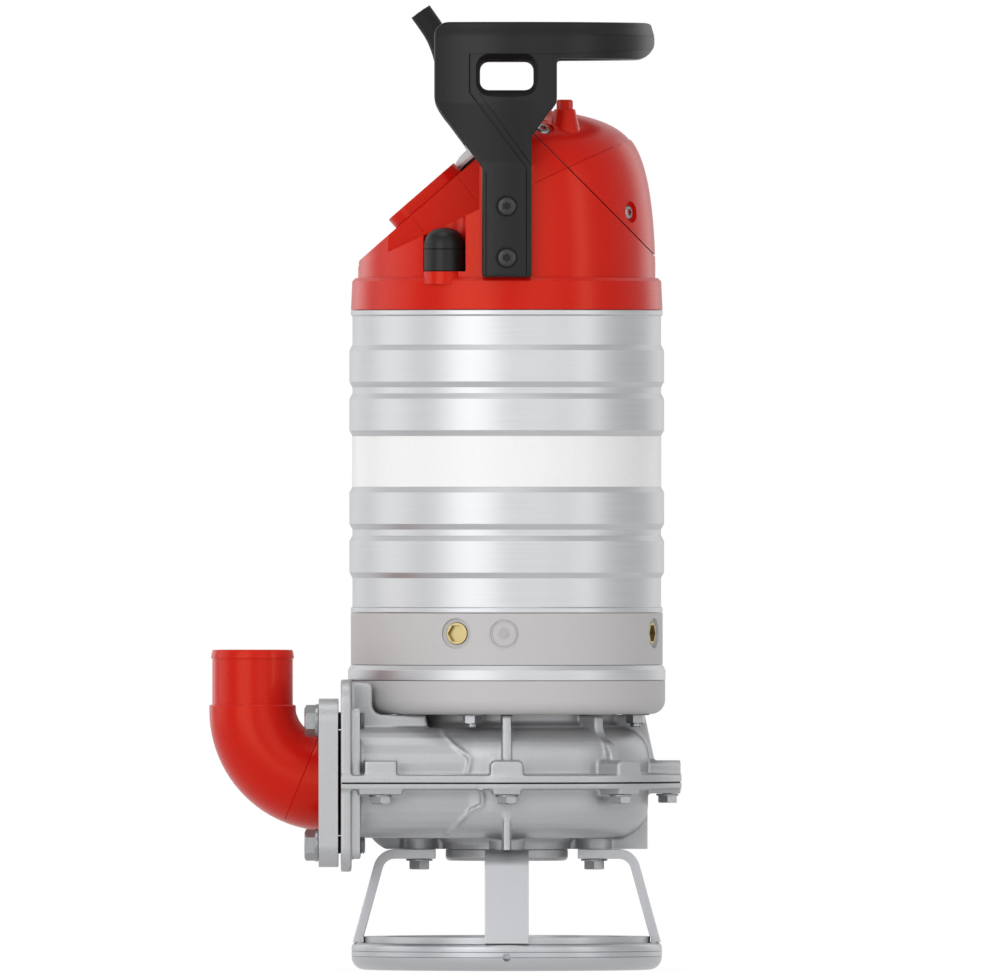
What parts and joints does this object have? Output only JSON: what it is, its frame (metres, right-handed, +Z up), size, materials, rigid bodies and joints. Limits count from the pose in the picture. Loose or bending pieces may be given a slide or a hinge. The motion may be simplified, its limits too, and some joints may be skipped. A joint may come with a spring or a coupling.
{
  "type": "submersible slurry pump",
  "caption": "Upright submersible pump: ring foot on bent legs, split volute with a side discharge elbow, ribbed motor casing, red top housing, black hoop handle and a short cable",
  "frame": {"origin": "centre of the bounding box without the cable, on the plane the base ring stands on; the pump axis is 55.8 mm to +X of it", "axes": "+Z up along the pump axis, the discharge leaves towards -X, and the side in the picture faces -Y"},
  "size_m": [0.4316, 0.32, 0.8821],
  "materials": {
    "foot_steel": "satin",
    "fastener_steel": "satin",
    "cast_iron": "painted, matte",
    "cast_aluminium": "as cast",
    "stainless": "brushed",
    "red_enamel": "gloss enamel",
    "black_plastic": "matte",
    "seal_rubber": "matte",
    "cable_rubber": "matte",
    "brass": "machined",
    "bearing_steel": "ground",
    "core_steel": "laminated",
    "copper_winding": "varnished",
    "carbide": "lapped"
  },
  "bodies": {
    "housing": {"base_ring": "foot_steel", "leg_front": "foot_steel", "leg_rear": "foot_steel", "leg_left": "foot_steel", "leg_right": "foot_steel", "leg_bolt_front": "fastener_steel", "leg_bolt_rear": "fastener_steel", "leg_bolt_left": "fastener_steel", "leg_bolt_right": "fastener_steel", "suction_cover": "cast_iron", "lower_casing": "cast_iron", "upper_casing": "cast_iron", "casing_gasket": "seal_rubber", "casing_bolt_1": "fastener_steel", "casing_bolt_2": "fastener_steel", "casing_bolt_3": "fastener_steel", "casing_bolt_4": "fastener_steel", "casing_bolt_5": "fastener_steel", "casing_bolt_6": "fastener_steel", "casing_bolt_7": "fastener_steel", "casing_bolt_8": "fastener_steel", "discharge_gasket": "seal_rubber", "discharge_flange": "cast_iron", "discharge_elbow": "red_enamel", "discharge_bolt_1": "fastener_steel", "discharge_bolt_2": "fastener_steel", "discharge_bolt_3": "fastener_steel", "discharge_bolt_4": "fastener_steel", "seal_housing": "cast_aluminium", "clamp_ring": "stainless", "oil_housing": "cast_aluminium", "inspection_plug_front": "brass", "inspection_plug_side": "brass", "outer_casing": "stainless", "bearing_bracket": "cast_aluminium", "lower_bearing_outer_ring": "bearing_steel", "upper_bearing_outer_ring": "bearing_steel", "stator_core": "core_steel", "lower_winding": "copper_winding", "upper_winding": "copper_winding", "top_housing": "red_enamel", "service_cover": "red_enamel", "cable_entry_lid": "red_enamel", "test_plug": "red_enamel", "dome_cap": "black_plastic", "cable_gland": "cast_aluminium", "gland_gasket": "seal_rubber", "handle": "black_plastic", "cable": "cable_rubber", "terminal_block": "black_plastic", "shaft_seal_seat": "carbide"},
    "rotor": {"shaft": "stainless", "rotor_core": "core_steel", "impeller": "cast_iron", "impeller_screw": "fastener_steel", "shaft_seal_ring": "carbide", "lower_bearing_inner_ring": "bearing_steel", "upper_bearing_inner_ring": "bearing_steel"},
    "lower_balls": {"lower_bearing_balls": "bearing_steel"},
    "upper_balls": {"upper_bearing_balls": "bearing_steel"}
  },
  "joints": [
    {"name": "rotor_spin", "type": "hinge", "parent": "housing", "child": "rotor", "pos_m": [0.0558, 0, 0.4], "axis": [0, 0, 1], "continuous": true},
    {"name": "lower_balls_spin", "type": "hinge", "parent": "housing", "child": "lower_balls", "pos_m": [0.0558, 0, 0.3382], "axis": [0, 0, 1], "continuous": true},
    {"name": "upper_balls_spin", "type": "hinge", "parent": "housing", "child": "upper_balls", "pos_m": [0.0558, 0, 0.5844], "axis": [0, 0, 1], "continuous": true}
  ],
  "couplings": [
    {"joint": "lower_balls_spin", "follows": "rotor_spin", "ratio": 0.42},
    {"joint": "upper_balls_spin", "follows": "rotor_spin", "ratio": 0.417}
  ]
}
